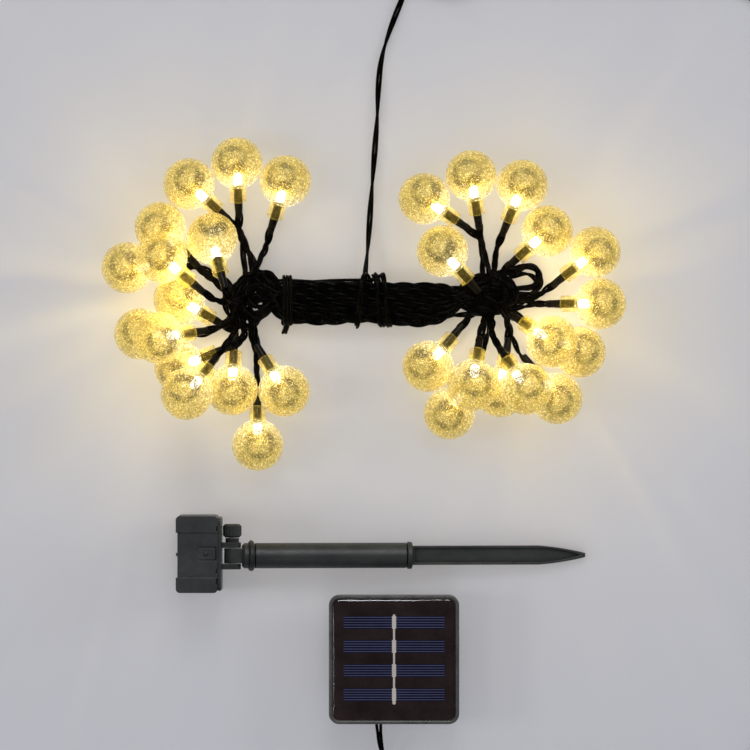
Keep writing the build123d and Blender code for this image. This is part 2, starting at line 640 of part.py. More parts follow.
def ground_spike():
    """A flanged blade with a round collar and the shank that is pushed into the tube."""
    blade = Pos(0, 0, -SPIKE_HALF_HEIGHT) * extrude(spike_outline(0), 2 * SPIKE_HALF_HEIGHT)
    pocket = extrude(spike_outline(FLANGE_THICK), SPIKE_HALF_HEIGHT)
    blade -= Pos(0, 0, WEB_HALF) * pocket
    blade -= Pos(0, 0, -WEB_HALF - SPIKE_HALF_HEIGHT) * pocket
    collar = rod((0, 0, 0), (1, 0, 0), COLLAR_START, COLLAR_STOP, STAKE_COLLAR_RADIUS)
    collar = fillet(collar.edges().filter_by(GeomType.CIRCLE), 0.7)
    shank = rod((0, 0, 0), (1, 0, 0), SHANK_START, COLLAR_START, SHANK_RADIUS)
    shank = chamfer(shank.faces().sort_by(Axis.X)[0].edges(), 0.8)
    return blade + collar + shank


def stake_pieces():
    """Every piece of the cradle and its stake."""
    save("cradle_body", cradle_body())
    save("release_tab", release_tab())
    save("back_plate", back_plate())
    save("pivot_bolt", pivot_bolt())
    save("pivot_washer", pivot_washer())
    save("thumb_knob", thumb_knob())
    place = Pos(HINGE_X, STAKE_Y, HINGE_Z) * Rot(0, DROOP, 0)
    save("stake_neck", place * stake_neck())
    save("neck_ring", place * neck_ring())
    save("stake_tube", place * stake_tube())
    save("ground_spike", place * ground_spike())
    print("stake leans", round(DROOP, 3), "degrees")


os.makedirs("parts", exist_ok=True)
string_pieces()
lead_pieces()
module_pieces()
stake_pieces()
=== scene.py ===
import math
import random

import bmesh
import bpy
from mathutils import Matrix, Vector, noise


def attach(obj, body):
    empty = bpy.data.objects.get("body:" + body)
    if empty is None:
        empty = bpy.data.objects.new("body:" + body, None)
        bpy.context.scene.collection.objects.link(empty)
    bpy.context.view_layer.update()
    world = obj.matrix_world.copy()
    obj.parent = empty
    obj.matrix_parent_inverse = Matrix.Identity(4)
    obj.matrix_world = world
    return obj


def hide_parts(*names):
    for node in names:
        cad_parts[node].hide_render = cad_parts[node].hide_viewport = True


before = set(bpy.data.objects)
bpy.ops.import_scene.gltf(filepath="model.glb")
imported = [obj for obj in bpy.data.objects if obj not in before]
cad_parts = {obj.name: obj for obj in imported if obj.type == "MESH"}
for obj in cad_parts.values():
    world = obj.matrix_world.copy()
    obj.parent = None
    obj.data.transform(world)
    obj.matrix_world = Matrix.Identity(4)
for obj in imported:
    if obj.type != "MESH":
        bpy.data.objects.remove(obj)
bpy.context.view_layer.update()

# Solar string lights. Metres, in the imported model's frame: +Z is up and the surface is z = 0.

# ---------------------------------------------------------------- dimensions, as in part.py
GLOBE_RADIUS = 0.0125
GLOBE_WALL = 0.0012
COLLAR_RADIUS = 0.0040
COLLAR_BORE = 0.0031
COLLAR_END = 0.0192
SLEEVE_END = 0.0270

# Each globe: x, y, z of its middle, then the compass angle and the rise of its axis in degrees.
LEFT_GLOBES = [
    (-0.0845, 0.1193, 0.0125, -42, -14),
    (-0.0613, 0.1295, 0.0125, -88, -14),
    (-0.0377, 0.1208, 0.0125, -107, -14),
    (-0.0984, 0.0982, 0.0125, -46, -14),
    (-0.0731, 0.0926, 0.0220, -75, 22),
    (-0.0971, 0.0834, 0.0328, -40, -15),
    (-0.1145, 0.0788, 0.0125, 1, -14),
    (-0.0893, 0.0633, 0.0125, -30, -14),
    (-0.1083, 0.0466, 0.0125, 0, -14),
    (-0.0986, 0.0446, 0.0368, 9, -30),
    (-0.0889, 0.0306, 0.0125, 22, 4),
    (-0.0850, 0.0175, 0.0340, 52, -30),
    (-0.0636, 0.0196, 0.0125, 88, -16),
    (-0.0384, 0.0189, 0.0125, 121, -14),
    (-0.0512, -0.0073, 0.0125, 91, -22),
]
RIGHT_GLOBES = [
    (0.0296, 0.1122, 0.0125, -34, -14),
    (0.0524, 0.1233, 0.0125, -81, -14),
    (0.0772, 0.1187, 0.0125, -112, -14),
    (0.0893, 0.0965, 0.0125, -138, -14),
    (0.0384, 0.0866, 0.0200, -48, -8),
    (0.1124, 0.0863, 0.0125, -142, -14),
    (0.1150, 0.0613, 0.0125, 180, -14),
    (0.0910, 0.0427, 0.0335, 146, -30),
    (0.1051, 0.0378, 0.0125, 150, -14),
    (0.0314, 0.0310, 0.0125, 50, -14),
    (0.0527, 0.0218, 0.0340, 81, -30),
    (0.0418, 0.0080, 0.0125, 60, -14),
    (0.0665, 0.0187, 0.0125, 81, -14),
    (0.0784, 0.0199, 0.0355, 122, -30),
    (0.0939, 0.0153, 0.0125, 128, -14),
]

HANK_Y = 0.0630
HANK_Z = 0.0076
LEFT_CORE = Vector((-0.0530, 0.0640, 0.0070))
RIGHT_CORE = Vector((0.0530, 0.0640, 0.0070))

RUN_DIAMETER = 0.0028
LEAD_DIAMETER = 0.0030
LEAD_Z = 0.0016
COIL_X = 0.0430
COIL_Y = 0.2330
LEAD_FROM_HANK = [
    (0.0010, 0.0767, 0.0070), (0.0022, 0.0880, 0.0034), (0.0031, 0.1019, LEAD_Z),
    (0.0044, 0.1204, LEAD_Z), (0.0056, 0.1363, LEAD_Z), (0.0069, 0.1529, LEAD_Z),
    (0.0072, 0.1660, LEAD_Z), (0.0086, 0.1807, LEAD_Z), (0.0126, 0.1940, LEAD_Z),
    (0.0184, 0.2086, LEAD_Z), (0.0226, 0.2190, LEAD_Z), (0.0236, 0.2300, LEAD_Z),
]
LEAD_TO_MODULE = [
    (0.0623, 0.2310, 0.0060), (0.0642, 0.2225, 0.0032), (0.0715, 0.2158, LEAD_Z),
    (0.0850, 0.2134, LEAD_Z), (0.1080, 0.2148, LEAD_Z), (0.1360, 0.2133, LEAD_Z),
    (0.1620, 0.2148, LEAD_Z), (0.1845, 0.2134, LEAD_Z), (0.1952, 0.2056, LEAD_Z),
    (0.1962, 0.1860, LEAD_Z), (0.1953, 0.1580, LEAD_Z), (0.1960, 0.1260, LEAD_Z),
    (0.1952, 0.0880, LEAD_Z), (0.1961, 0.0460, LEAD_Z), (0.1951, 0.0020, LEAD_Z),
    (0.1960, -0.0420, LEAD_Z), (0.1950, -0.0840, LEAD_Z), (0.1958, -0.1200, LEAD_Z),
    (0.1960, -0.1430, LEAD_Z), (0.1915, -0.1595, LEAD_Z), (0.1760, -0.1655, LEAD_Z),
    (0.1500, -0.1646, LEAD_Z), (0.1160, -0.1642, LEAD_Z), (0.0820, -0.1664, LEAD_Z),
    (0.0500, -0.1669, LEAD_Z), (0.0300, -0.1710, LEAD_Z), (0.0178, -0.1696, LEAD_Z),
    (0.0108, -0.1624, 0.0034), (0.0086, -0.1546, 0.0080), (0.0077, -0.1474, 0.0124),
    (0.0074, -0.1410, 0.0150),
]
FAR_LOOP = [
    (0.0745, 0.0610), (0.0665, 0.0585), (0.0590, 0.0610), (0.0575, 0.0685), (0.0640, 0.0735),
    (0.0735, 0.0765), (0.0810, 0.0790), (0.0868, 0.0765), (0.0875, 0.0705), (0.0815, 0.0665),
    (0.0720, 0.0665), (0.0600, 0.0660),
]
FAR_GLOBES = (RIGHT_GLOBES[5], RIGHT_GLOBES[6])
# The lead's winding: the x at which it crosses each side of the waist, far side first.
WRAP_CROSSINGS = (0.0090, 0.0130, 0.0050, 0.0095, 0.0005, -0.0035, 0.0010)
WRAP_HALF = (0.0128, 0.0062)
LEAD_ACROSS = 0.0091
TIE_X = -0.0370
TIE_HALF = (0.0117, 0.0052)
TIE_RADIUS = 0.00078
# Below 1, this makes a ring round the waist squarish.
WAIST_POWER = 0.72
RUN_TWIST = 0.020
LEAD_TWIST = 0.068
STRING_BODY = "string_and_module"

# Rows of runs in the waist: height over its middle, place of the nearest run across it, and count.
WAIST_ROWS = (
    (0.00290, -0.00630, 7), (0.00097, -0.00975, 8), (-0.00097, -0.00860, 7), (-0.00290, -0.00690, 7),
)
WAIST_PITCH = 0.0023
WAIST_STATIONS = (-0.041, -0.030, -0.019, -0.008, 0.005, 0.017, 0.028, 0.040)
# Where the waist's near side hangs loose: how far, round which x, and how far to each side of that.
WAIST_SAGS = ((0.0026, 0.026, 0.014), (0.0014, -0.020, 0.015))

# Places along a globe's axis: where its cable starts, and its first free point.
CABLE_START = 0.0245
CABLE_FREE = 0.0300
KNEE_REACH = 0.0080
TANGLE_LOW = 0.0019
TANGLE_HIGH = 0.0118
# The tangle at each end of the hank: its core, the way out, how far the folds' middles stray in x and y,
# and how far the longest fold reaches outwards, to the far side and to the near side.
TANGLES = {
    "left": (LEFT_CORE, -1, (-0.0052, 0.0034), (-0.0054, 0.0050), (0.0112, 0.0140, 0.0146)),
    "right": (RIGHT_CORE, 1, (0.0000, 0.0125), (-0.0018, 0.0026), (0.0142, 0.0112, 0.0100)),
}
LEFT_LEAN = 1.6
FOLD_CHANCE = 0.88

EASING_PASSES = 18
EASING_SHARE = 0.20
EASED_CORNER = math.radians(124)
EASED_STEP = 0.0035

VIEW_MIDDLE = Vector((0.0057, 0.0267, 0.0125))
VIEW_WIDTH = 0.36375
VIEW_DISTANCE = 3.0
SENSOR = 36.0

MODULE_X = 0.0149
MODULE_Y = -0.1108
MODULE_TOP = Vector((MODULE_X, MODULE_Y, 0.0257))
CELL_SHIFT = 0.0005
CELL_PITCH = 0.01165
CELL_DEPTH = 0.0061
FINGERS_PER_ROW = 5.0

RESIN_HALF = (0.02965, 0.02935)
RESIN_CORNER = 0.0033
RESIN_DROP = 0.00003
SHELF = 0.0028
OUTLINE_CORNERS = ((1, 1), (-1, 1), (-1, -1), (1, -1))
CORNER_STEPS = 10
SIDE_STEPS = 44
# The poured face in section: how far in from its edge, and how high.
RESIN_SECTION = (
    (0.0003, 0.02350), (0.0, 0.02370), (0.0, 0.02430), (0.0, 0.02480), (0.00012, 0.02508),
    (0.00035, 0.02529), (0.0007, 0.02545), (0.0012, 0.02556), (0.0019, 0.02563), (0.0030, 0.02566),
    (0.0048, 0.02568), (0.0080, 0.02569), (0.0130, 0.02569), (0.0200, 0.02570), (0.0260, 0.02570),
)

GLOBE_SIDES = 120
GLOBE_MESHES = 3
OUTER_STEPS = 74
INNER_STEPS = 50
NECK_RADIUS = 0.0044
CRACKLE_END = 0.0108
WALL, RIM = 0, 1

PLASTIC_GRAIN = 2600.0
METAL_GRAIN = 3000.0
GLOBE_LIGHT = 0.80
COOL_WHITE = (0.96, 0.97, 1.0)
WARM_WHITE = (1.0, 0.76, 0.28)
GLOW_Z = 0.026
GLOW_POWER = 0.0082
RAYS_Z = 0.050
RAYS_POWER = 0.085
FLOOR_DROP = 0.0003

random.seed(41)


# ---------------------------------------------------------------- helpers
def link(obj):
    """Puts a new object in the scene."""
    bpy.context.scene.collection.objects.link(obj)
    return obj


def globe_axis(place):
    """The direction of a globe's axis."""
    a, e = math.radians(place[3]), math.radians(place[4])
    return Vector((math.cos(a) * math.cos(e), math.sin(a) * math.cos(e), math.sin(e)))


def globe_middle(place):
    """The middle of a globe."""
    return Vector(place[:3])


def all_globes():
    """Globe number and place, in the order the cable visits them."""
    out = []
    for i, (left, right) in enumerate(zip(LEFT_GLOBES, RIGHT_GLOBES)):
        out.append((2 * i + 1, left))
        out.append((2 * i + 2, right))
    return out


def mesh_from(bm, name):
    """The finished mesh of a bmesh, which is freed."""
    mesh = bpy.data.meshes.new(name)
    bm.to_mesh(mesh)
    bm.free()
    return mesh


def closed_skin(bm, rings):
    """Smooth faces from ring to ring, and a flat cap on both ends; gives back the last cap."""
    count = len(rings[0])
    for a, b in zip(rings, rings[1:]):
        for k in range(count):
            n = (k + 1) % count
            bm.faces.new((a[k], a[n], b[n], b[k])).smooth = True
    bm.faces.new(list(reversed(rings[0])))
    return bm.faces.new(rings[-1])


# ---------------------------------------------------------------- camera
camera = bpy.data.cameras.new("camera")
camera.sensor_width = SENSOR
camera.lens = SENSOR * VIEW_DISTANCE / VIEW_WIDTH
camera.clip_end = 20
camera_object = link(bpy.data.objects.new("camera", camera))
camera_object.location = VIEW_MIDDLE + Vector((0, 0, VIEW_DISTANCE))
bpy.context.scene.camera = camera_object


# ---------------------------------------------------------------- cords
def spline_points(control):
    """Points read along a smooth spline with these control points."""
    data = bpy.data.curves.new("route", "CURVE")
    data.dimensions = "3D"
    data.resolution_u = 12
    spline = data.splines.new("NURBS")
    spline.points.add(len(control) - 1)
    for point, place in zip(spline.points, control):
        point.co = (*place, 1)
    spline.order_u = 3
    spline.use_endpoint_u = True
    route = link(bpy.data.objects.new("route", data))
    depsgraph = bpy.context.evaluated_depsgraph_get()
    mesh = bpy.data.meshes.new_from_object(route.evaluated_get(depsgraph))
    points = [v.co.copy() for v in mesh.vertices]
    bpy.data.objects.remove(route)
    bpy.data.meshes.remove(mesh)
    bpy.data.curves.remove(data)
    return points


def line_frames(points, first_side):
    """A tangent and two cross directions at each point, turning as little as possible."""
    frames = []
    side = first_side
    for i in range(len(points)):
        before = points[max(i - 1, 0)]
        after = points[min(i + 1, len(points) - 1)]
        along = (after - before).normalized()
        side = (side - along * side.dot(along)).normalized()
        frames.append((along, side, along.cross(side)))
    return frames


def add_tube(bm, centres, frames, radius, sides):
    """A closed round tube through a row of points."""
    rings = []
    for centre, (along, across, up) in zip(centres, frames):
        ring = []
        for k in range(sides):
            turn = 2 * math.pi * k / sides
            offset = across * math.cos(turn) + up * math.sin(turn)
            ring.append(bm.verts.new(centre + offset * radius))
        rings.append(ring)
    closed_skin(bm, rings)


def twisted_cord(name, points, radius, spread_at, twist_at, sides, first_side):
    """Two strands laid round each other along a line, as one mesh."""
    frames = line_frames(points, first_side)
    distance = [0.0]
    for a, b in zip(points, points[1:]):
        distance.append(distance[-1] + (b - a).length)
    bm = bmesh.new()
    for half in (0, math.pi):
        centres = []
        for s, point, (along, across, up) in zip(distance, points, frames):
            turn = twist_at(s) + half
            offset = across * math.cos(turn) + up * math.sin(turn)
            centres.append(point + offset * spread_at(s))
        add_tube(bm, centres, line_frames(centres, first_side), radius, sides)
    return link(bpy.data.objects.new(name, mesh_from(bm, name)))


def slots():
    """Where each run crosses the hank's waist: across and up from its middle line, far side first."""
    places = []
    for up, start, count in WAIST_ROWS:
        for i in range(count):
            places.append((start + WAIST_PITCH * i, up))
    return sorted(places, reverse=True)


def leave_sleeve(place, side, hand, slot, loops=True):
    """The control points of a run from inside a sleeve, through the tangle at the hank's end."""
    core, outward, stray_x, stray_y, longest = TANGLES[side]
    bulb, axis = globe_middle(place), globe_axis(place)
    sleeve_end = bulb + axis * SLEEVE_END
    across = Vector((-axis.y, axis.x, 0)).normalized() * hand
    start = bulb + axis * CABLE_START + across * 0.0007
    first = bulb + axis * CABLE_FREE + across * 0.0010
    level = Vector((axis.x, axis.y, axis.z / 2)).normalized()
    knee = sleeve_end + level * KNEE_REACH - across * 0.0010
    knee.z = max(knee.z, 0.0024)
    first.z = max(first.z, 0.0020)
    points = [start, first, knee]
    depth = HANK_Z + slot[1] * 1.3 + random.uniform(-0.0008, 0.0008)
    if place in FAR_GLOBES:
        return points + far_loop(depth)
    size = random.uniform(0.58, 1.0)
    middle = core + Vector((random.uniform(*stray_x), random.uniform(*stray_y), 0))
    if side == "left":
        middle.x += max(0.0, middle.y - core.y) * LEFT_LEAN
    reach, broad_far, broad_near = (full * size for full in longest)
    arrive = math.degrees(math.atan2(knee.y - middle.y, outward * (knee.x - middle.x)))
    turn = 1 if arrive > 0 else -1
    if loops and random.random() < FOLD_CHANCE:
        leave = -turn * random.uniform(85, 120)
    else:
        leave = arrive * 0.3
    steps = 5 if abs(arrive - leave) > 90 else 2
    ring = []
    for i in range(steps):
        angle = math.radians(arrive * 0.9 + (leave - arrive * 0.9) * i / max(1, steps - 1))
        scale = random.uniform(0.90, 1.05)
        x = middle.x + outward * reach * scale * math.cos(angle)
        broad = broad_far if math.sin(angle) > 0 else broad_near
        y = middle.y + broad * scale * math.sin(angle)
        z = min(max(depth + random.uniform(-0.0006, 0.0006), TANGLE_LOW), TANGLE_HIGH)
        ring.append(Vector((x, y, z)))
    if (ring[0] - knee).length > 0.014:
        points.append(knee.lerp(ring[0], 0.5) + across * random.uniform(0.0004, 0.0016))
    return points + ring


def far_loop(depth):
    """A fold that is longer than the rest and lies open at the right end of the hank."""
    shift = Vector((random.uniform(-0.0022, 0.0006), random.uniform(-0.0022, 0.0022), 0))
    stray = 0.0008
    return [
        Vector((x + random.uniform(-stray, stray), y + random.uniform(-stray, stray), depth)) + shift
        for x, y in FAR_LOOP
    ]


def eased(points):
    """The same run with its sharp corners drawn in, so that the cable nowhere folds on itself."""
    points = [p.copy() for p in points]
    for _ in range(EASING_PASSES):
        for i in range(2, len(points) - 2):
            back, ahead = points[i - 1] - points[i], points[i + 1] - points[i]
            if back.angle(ahead) < EASED_CORNER or min(back.length, ahead.length) < EASED_STEP:
                points[i] = points[i].lerp((points[i - 1] + points[i + 1]) / 2, EASING_SHARE)
    return points


def waist_points(slot):
    """The control points of a run along the hank's waist, from left to right."""
    points = []
    for x in WAIST_STATIONS:
        y = HANK_Y + slot[0] + random.uniform(-0.00015, 0.00015)
        slack = min(1.0, max(0.0, (-slot[0] - 0.0030) / 0.0060))
        for sag, middle, width in WAIST_SAGS:
            y -= slack * sag * max(0.0, 1 - ((x - middle) / width) ** 2)
        z = HANK_Z + slot[1] + random.uniform(-0.00008, 0.00008)
        points.append(Vector((x + random.uniform(-0.002, 0.002), y, z)))
    return points


def string_runs():
    """The cable from each globe to the next, through the hank."""
    globes = all_globes()
    runs = []
    for k, slot in enumerate(slots()):
        (_, here), (_, there) = globes[k], globes[k + 1]
        left, right = (here, there) if k % 2 == 0 else (there, here)
        hand = 1 if k % 2 == 0 else -1
        route = leave_sleeve(left, "left", hand, slot)
        route += waist_points(slot)
        route += list(reversed(leave_sleeve(right, "right", hand, slot)))
        points = spline_points(eased(route))
        strand = RUN_DIAMETER / 4
        phase = random.uniform(0, 6.28)
        run = twisted_cord(
            f"string_run_{k + 1:02d}", points, strand,
            lambda s: strand, lambda s: phase + 2 * math.pi * s / RUN_TWIST,
            8, Vector((0, 1, 0.01)),
        )
        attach(run, STRING_BODY)
        runs.append(run)
    return runs


def waist_ring(turn, half):
    """A place on a squarish ring round the waist, as its y and z."""
    c, s = math.cos(turn), math.sin(turn)
    y = HANK_Y + half[0] * math.copysign(abs(c) ** WAIST_POWER, c)
    z = HANK_Z + half[1] * math.copysign(abs(s) ** WAIST_POWER, s)
    return y, z


def wrap_points():
    """The lead's turns round the hank's waist, from right to left."""
    points = []
    per_turn = 14
    last = len(WRAP_CROSSINGS) - 1
    for i in range(per_turn * last // 2 + 1):
        y, z = waist_ring(2 * math.pi * i / per_turn, WRAP_HALF)
        crossing = min(i * 2 // per_turn, last - 1)
        share = i * 2 / per_turn - crossing
        here, after = WRAP_CROSSINGS[crossing:crossing + 2]
        x = here + (after - here) * share
        points.append(Vector((x, y, max(z, LEAD_Z))))
    return points


def coil_points():
    """The lead's put-away coil: three turns inwards, three back out above them, and 1.5 more on top."""
    points = []
    per_turn, all_turns = 14, 7.5
    inner, outer, layer = 0.0139, 0.0200, 0.0030
    start = math.radians(188)
    climb = 0.25
    for i in range(1, int(per_turn * all_turns) + 1):
        turns = i / per_turn
        angle = start - 2 * math.pi * turns
        if turns < 3:
            radius = outer - (outer - inner) * turns / 3
            height = 0
        elif turns < 6:
            radius = inner + (outer - inner) * (turns - 3) / 3
            height = min(1, (turns - 3) / climb)
        else:
            radius = outer
            height = 1 + min(1, (turns - 6) / climb)
        x, y = COIL_X + radius * math.cos(angle), COIL_Y + radius * math.sin(angle)
        points.append(Vector((x, y, LEAD_Z + layer * height)))
    return points


def panel_lead():
    """The two-core lead: from the first globe, round the hank, through its coil and to the module."""
    route = leave_sleeve(LEFT_GLOBES[0], "left", -1, (LEAD_ACROSS, 0.0), loops=False)
    route += [Vector((x, HANK_Y + LEAD_ACROSS, HANK_Z)) for x in (-0.041, -0.030, -0.016, -0.002)]
    route += [Vector((0.006, HANK_Y + 0.0100, HANK_Z))]
    route += wrap_points()
    route += [Vector(p) for p in LEAD_FROM_HANK]
    route += coil_points()
    route += [Vector(p) for p in LEAD_TO_MODULE]
    points = list(reversed(spline_points(route)))
    core = LEAD_DIAMETER / 4

    def spread(s):
        """The cores part a little just before they go under the module."""
        return core + 0.0004 * max(0.0, 1 - s / 0.006)

    def twist(s):
        """The cores start to turn round each other a little way from the module."""
        return 2 * math.pi * max(0.0, s - 0.008) / LEAD_TWIST

    lead = twisted_cord("panel_lead_cord", points, core, spread, twist, 10, Vector((1, 0, 0)))
    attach(lead, STRING_BODY)
    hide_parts("panel_lead", "lead_coil")
    return lead


def hank_tie():
    """A coated wire wound three times round the waist, with its ends twisted together."""
    root = Vector((TIE_X, HANK_Y - 0.0120, HANK_Z - 0.0008))
    tip = Vector((TIE_X - 0.0014, HANK_Y - 0.0158, HANK_Z - 0.0030))
    first_end, second_end = [], []
    steps, end_turns, apart = 15, 1.6, 0.0008
    for i in range(steps + 1):
        share = i / steps
        turn = 2 * math.pi * end_turns * share
        offset = Vector((math.cos(turn), 0, math.sin(turn))) * apart
        first_end.append(root.lerp(tip, share) - offset)
        second_end.append(root.lerp(tip, share) + offset)
    winding = []
    per_turn, turns, pitch = 24, 3, 0.0016
    for i in range(1, per_turn * turns):
        x = TIE_X + pitch * (i / per_turn - turns / 2)
        winding.append(Vector((x, *waist_ring(math.pi + 2 * math.pi * i / per_turn, TIE_HALF))))
    wire = spline_points(list(reversed(first_end)) + winding + second_end)
    bm = bmesh.new()
    add_tube(bm, wire, line_frames(wire, Vector((1, 0, 0.01))), TIE_RADIUS, 10)
    tie = link(bpy.data.objects.new("hank_tie_wire", mesh_from(bm, "hank_tie_wire")))
    tie.data.materials.append(TIE)
    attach(tie, STRING_BODY)
    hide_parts("hank_tie")


# ---------------------------------------------------------------- materials
def node(tree, kind, props=None, **inputs):
    """A shader node with its properties and inputs set; an input may be another node's socket."""
    made = tree.nodes.new(kind)
    for key, value in (props or {}).items():
        setattr(made, key, value)
    for key, value in inputs.items():
        numbered = key[0] == "i" and key[1:].isdigit()
        socket = made.inputs[int(key[1:]) if numbered else key.replace("_", " ")]
        if isinstance(value, bpy.types.NodeSocket):
            tree.links.new(value, socket)
        else:
            socket.default_value = value
    return made


def calc(tree, operation, a, b=0.0, clamp=False):
    """The result of one sum."""
    return node(tree, "ShaderNodeMath", {"operation": operation, "use_clamp": clamp}, i0=a, i1=b).outputs[0]


def times(tree, a, b):
    """The product of two values."""
    return calc(tree, "MULTIPLY", a, b)


def plus(tree, a, b, clamp=False):
    """Two values added, kept from 0 to 1 if clamped."""
    return calc(tree, "ADD", a, b, clamp)


def vector_calc(tree, operation, a, b=(0.0, 0.0, 0.0)):
    """The result of one sum on vectors, which is a number for a dot product or a distance."""
    made = node(tree, "ShaderNodeVectorMath", {"operation": operation}, i0=a, i1=b)
    return made.outputs["Value" if operation in ("DOT_PRODUCT", "DISTANCE") else "Vector"]


def remap(tree, value, low, high, to_low=0.0, to_high=1.0):
    """A value taken from one range to another and kept inside it."""
    made = node(
        tree, "ShaderNodeMapRange", {"interpolation_type": "LINEAR", "clamp": True},
        i0=value, i1=low, i2=high, i3=to_low, i4=to_high,
    )
    return made.outputs[0]


def blend_colours(tree, share, a, b):
    """A colour between two others, at a share of the way."""
    made = tree.nodes.new("ShaderNodeMix")
    made.data_type = "RGBA"
    sockets = [k for k in made.inputs if k.enabled]
    for socket, value in zip(sockets, (share, a, b)):
        if isinstance(value, bpy.types.NodeSocket):
            tree.links.new(value, socket)
        else:
            socket.default_value = value
    return [k for k in made.outputs if k.enabled][0]


def rgb(r, g, b):
    """An opaque colour."""
    return (r, g, b, 1.0)


def start_material(name):
    """A new material with its Principled shader and its object coordinates."""
    material = bpy.data.materials.new(name)
    material.use_nodes = True
    tree = material.node_tree
    shader = next(n for n in tree.nodes if n.type == "BSDF_PRINCIPLED")
    place = tree.nodes.new("ShaderNodeTexCoord").outputs["Object"]
    return material, tree, shader, place


def noise_of(tree, place, scale, detail=3.0, roughness=0.55):
    """Cloudy noise from 0 to 1."""
    return node(
        tree, "ShaderNodeTexNoise", Vector=place, Scale=scale, Detail=detail, Roughness=roughness
    ).outputs["Fac"]


def rounded_normal(tree, radius):
    """The normal, with sharp edges rounded off."""
    return node(tree, "ShaderNodeBevel", {"samples": 6}, Radius=radius).outputs[0]


def edge_mask(tree, rounded):
    """How close a place is to a sharp edge, from how far a rounded normal leaves the true one."""
    true_normal = tree.nodes.new("ShaderNodeNewGeometry").outputs["Normal"]
    return remap(tree, vector_calc(tree, "DOT_PRODUCT", rounded, true_normal), 0.995, 0.80)


def bumpy(tree, shader, strength, distance, height, **normal):
    """Gives a shader the small relief of a height."""
    lumpy = node(tree, "ShaderNodeBump", Strength=strength, Distance=distance, Height=height, **normal)
    tree.links.new(lumpy.outputs[0], shader.inputs["Normal"])


def moulded(name, dark, light, roughness, bump, edge_highlight, coat=0.0, edge=0.0005, spec=0.5, crease=0.0):
    """Moulded plastic: cloudy colour, fine grain, uneven gloss, sharp edges lightened in patches as a
    painted highlight, and painted shade in creases where asked.
    """
    material, tree, shader, place = start_material(name)
    cloud = noise_of(tree, place, 95.0, 4.0)
    fleck = noise_of(tree, place, PLASTIC_GRAIN * 0.4, 5.0, 0.7)
    mottle = plus(tree, times(tree, cloud, 0.6), times(tree, fleck, 0.4))
    share = remap(tree, mottle, 0.36, 0.64)
    colour = blend_colours(tree, share, rgb(*dark), rgb(*light))
    rounded = rounded_normal(tree, edge)
    # Painted highlight: sharp edges, found from the rounded normal, are lightened in patches.
    painted_edge_light = times(tree, edge_mask(tree, rounded), times(tree, remap(tree, cloud, 0.35, 0.6), edge_highlight))
    pale = tuple(min(1.0, 3.2 * c + 0.05) for c in light)
    colour = blend_colours(tree, painted_edge_light, colour, rgb(*pale))
    if crease > 0:
        # Painted shade: ambient occlusion darkens creases, slots and seams.
        open_air = node(tree, "ShaderNodeAmbientOcclusion", {"samples": 8}, Distance=0.0022).outputs["AO"]
        painted_crease_shade = times(tree, remap(tree, open_air, 0.92, 0.45), crease)
        colour = blend_colours(tree, painted_crease_shade, colour, rgb(0.001, 0.001, 0.001))
    tree.links.new(colour, shader.inputs["Base Color"])
    rough = remap(tree, noise_of(tree, place, 420.0, 5.0), 0.3, 0.7, roughness - 0.08, roughness + 0.09)
    tree.links.new(rough, shader.inputs["Roughness"])
    shader.inputs["Coat Weight"].default_value = coat
    shader.inputs["Coat Roughness"].default_value = 0.15
    shader.inputs["Specular IOR Level"].default_value = spec
    fine = noise_of(tree, place, PLASTIC_GRAIN, 2.0)
    height = plus(tree, fine, times(tree, cloud, 0.6))
    bumpy(tree, shader, bump, 0.00012, height, Normal=rounded)
    return material


def glossy_cable(name, dark, light, roughness):
    """Soft glossy insulation with scuffs and dust."""
    material, tree, shader, place = start_material(name)
    cloud = noise_of(tree, place, 240.0, 4.0)
    scuff = noise_of(tree, place, 1800.0, 6.0, 0.75)
    dust = remap(tree, times(tree, cloud, scuff), 0.27, 0.42)
    colour = blend_colours(tree, remap(tree, cloud, 0.35, 0.65), rgb(*dark), rgb(*light))
    colour = blend_colours(tree, times(tree, dust, 0.08), colour, rgb(0.03, 0.026, 0.022))
    tree.links.new(colour, shader.inputs["Base Color"])
    rough = remap(tree, scuff, 0.3, 0.7, roughness - 0.06, roughness + 0.14)
    tree.links.new(rough, shader.inputs["Roughness"])
    shader.inputs["Specular IOR Level"].default_value = 0.04
    bumpy(tree, shader, 0.25, 0.0001, scuff)
    return material


def metal(name, dark, light, roughness, metallic):
    """Dull plated metal with fine texture."""
    material, tree, shader, place = start_material(name)
    fine = noise_of(tree, place, METAL_GRAIN, 6.0, 0.75)
    cloud = noise_of(tree, place, 300.0, 4.0)
    tree.links.new(blend_colours(tree, fine, rgb(*dark), rgb(*light)), shader.inputs["Base Color"])
    shader.inputs["Metallic"].default_value = metallic
    rough = remap(tree, cloud, 0.3, 0.7, roughness - 0.08, roughness + 0.15)
    tree.links.new(rough, shader.inputs["Roughness"])
    bumpy(tree, shader, 0.5, 0.00008, fine, Normal=rounded_normal(tree, 0.0002))
    return material


